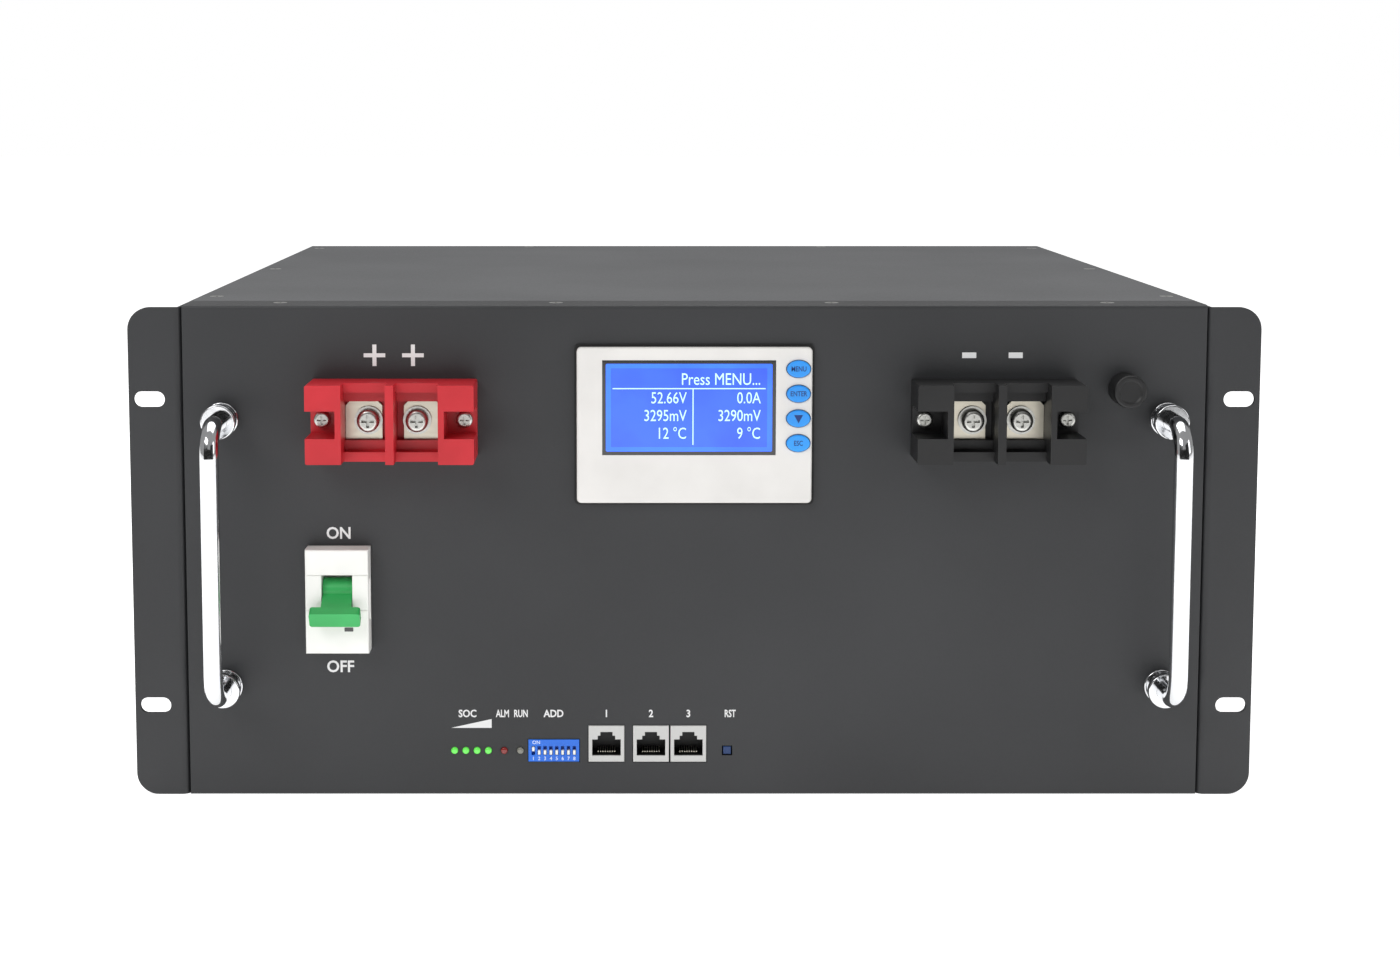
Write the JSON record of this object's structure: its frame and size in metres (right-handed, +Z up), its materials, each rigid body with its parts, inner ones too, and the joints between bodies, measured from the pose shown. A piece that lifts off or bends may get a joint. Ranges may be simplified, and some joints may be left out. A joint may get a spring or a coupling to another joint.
{
  "type": "server rack battery",
  "caption": "Rack-mount lithium battery module with front terminals, breaker, display, handles and data sockets.",
  "frame": {"origin": "centre of the case's underside", "axes": "+Z up, the front panel faces -Y, +X to the user's right"},
  "size_m": [0.4826, 0.452, 0.2133],
  "materials": {
    "powder_coat": "matte",
    "cover_coat": "matte",
    "zinc": "satin",
    "chrome": "polished",
    "black_plastic": "matte",
    "red_plastic": "satin",
    "plated_brass": "satin",
    "white_plastic": "satin",
    "green_plastic": "satin",
    "rubber": "matte",
    "grey_plastic": "satin",
    "glass": "polished",
    "circuit_board": "satin",
    "blue_key": "gloss",
    "green_led": "gloss",
    "red_led": "gloss",
    "clear_led": "gloss",
    "blue_plastic": "satin",
    "socket_plastic": "satin",
    "cell_case": "satin",
    "cast_plate": "satin"
  },
  "bodies": {
    "root": {"chassis_tray": "powder_coat", "front_panel": "powder_coat", "top_cover": "cover_coat", "rack_ear_left": "powder_coat", "rack_ear_right": "powder_coat", "ear_screws": "zinc", "cover_screws": "zinc", "handle_left": "chrome", "handle_right": "chrome", "handle_collars": "chrome", "handle_screws": "zinc", "vent_cap": "black_plastic", "vent_nut": "black_plastic", "positive_block": "red_plastic", "negative_block": "black_plastic", "positive_contacts": "plated_brass", "negative_contacts": "plated_brass", "terminal_washers": "zinc", "terminal_screws": "zinc", "block_screws": "zinc", "breaker_housing": "white_plastic", "breaker_rail": "zinc", "display_gasket": "rubber", "display_bezel": "grey_plastic", "display_glass": "glass", "display_module": "circuit_board", "display_board": "circuit_board", "soc_leds": "green_led", "alarm_led": "red_led", "run_led": "clear_led", "switch_body": "blue_plastic", "data_socket_1": "socket_plastic", "data_socket_2": "socket_plastic", "data_socket_3": "socket_plastic", "socket_contacts": "plated_brass", "reset_switch": "black_plastic", "interface_board": "circuit_board", "board_posts": "zinc", "cell_mat": "rubber", "battery_cells": "cell_case", "cell_busbars": "plated_brass", "end_plates": "cast_plate", "insulating_shelf": "circuit_board", "bms_board": "circuit_board", "heat_sink": "cast_plate", "power_leads": "plated_brass"},
    "breaker_toggle": {"breaker_toggle": "green_plastic"},
    "reset_button": {"reset_button": "blue_plastic"},
    "key_menu": {"key_menu": "blue_key"},
    "key_enter": {"key_enter": "blue_key"},
    "key_down": {"key_down": "blue_key"},
    "key_escape": {"key_escape": "blue_key"},
    "slider_1": {"slider_1": "white_plastic"},
    "slider_2": {"slider_2": "white_plastic"},
    "slider_3": {"slider_3": "white_plastic"},
    "slider_4": {"slider_4": "white_plastic"},
    "slider_5": {"slider_5": "white_plastic"},
    "slider_6": {"slider_6": "white_plastic"},
    "slider_7": {"slider_7": "white_plastic"},
    "slider_8": {"slider_8": "white_plastic"}
  },
  "joints": [
    {"name": "breaker_swing", "type": "hinge", "parent": "root", "child": "breaker_toggle", "pos_m": [-0.1524, -0.2095, 0.0908], "axis": [-1, 0, 0], "range_deg": [0, 60]},
    {"name": "press_menu", "type": "slide", "parent": "root", "child": "key_menu", "axis": [0, 1, 0], "range_m": [0, 0.0008], "stiffness_N_per_m": 600},
    {"name": "press_enter", "type": "slide", "parent": "root", "child": "key_enter", "axis": [0, 1, 0], "range_m": [0, 0.0008], "stiffness_N_per_m": 600},
    {"name": "press_down", "type": "slide", "parent": "root", "child": "key_down", "axis": [0, 1, 0], "range_m": [0, 0.0008], "stiffness_N_per_m": 600},
    {"name": "press_escape", "type": "slide", "parent": "root", "child": "key_escape", "axis": [0, 1, 0], "range_m": [0, 0.0008], "stiffness_N_per_m": 600},
    {"name": "press_reset", "type": "slide", "parent": "root", "child": "reset_button", "axis": [0, 1, 0], "range_m": [0, 0.0006], "stiffness_N_per_m": 600},
    {"name": "slide_1", "type": "slide", "parent": "root", "child": "slider_1", "axis": [0, 0, 1], "range_m": [-0.0015, 0]},
    {"name": "slide_2", "type": "slide", "parent": "root", "child": "slider_2", "axis": [0, 0, 1], "range_m": [0, 0.0015]},
    {"name": "slide_3", "type": "slide", "parent": "root", "child": "slider_3", "axis": [0, 0, 1], "range_m": [0, 0.0015]},
    {"name": "slide_4", "type": "slide", "parent": "root", "child": "slider_4", "axis": [0, 0, 1], "range_m": [0, 0.0015]},
    {"name": "slide_5", "type": "slide", "parent": "root", "child": "slider_5", "axis": [0, 0, 1], "range_m": [0, 0.0015]},
    {"name": "slide_6", "type": "slide", "parent": "root", "child": "slider_6", "axis": [0, 0, 1], "range_m": [0, 0.0015]},
    {"name": "slide_7", "type": "slide", "parent": "root", "child": "slider_7", "axis": [0, 0, 1], "range_m": [0, 0.0015]},
    {"name": "slide_8", "type": "slide", "parent": "root", "child": "slider_8", "axis": [0, 0, 1], "range_m": [0, 0.0015]}
  ]
}
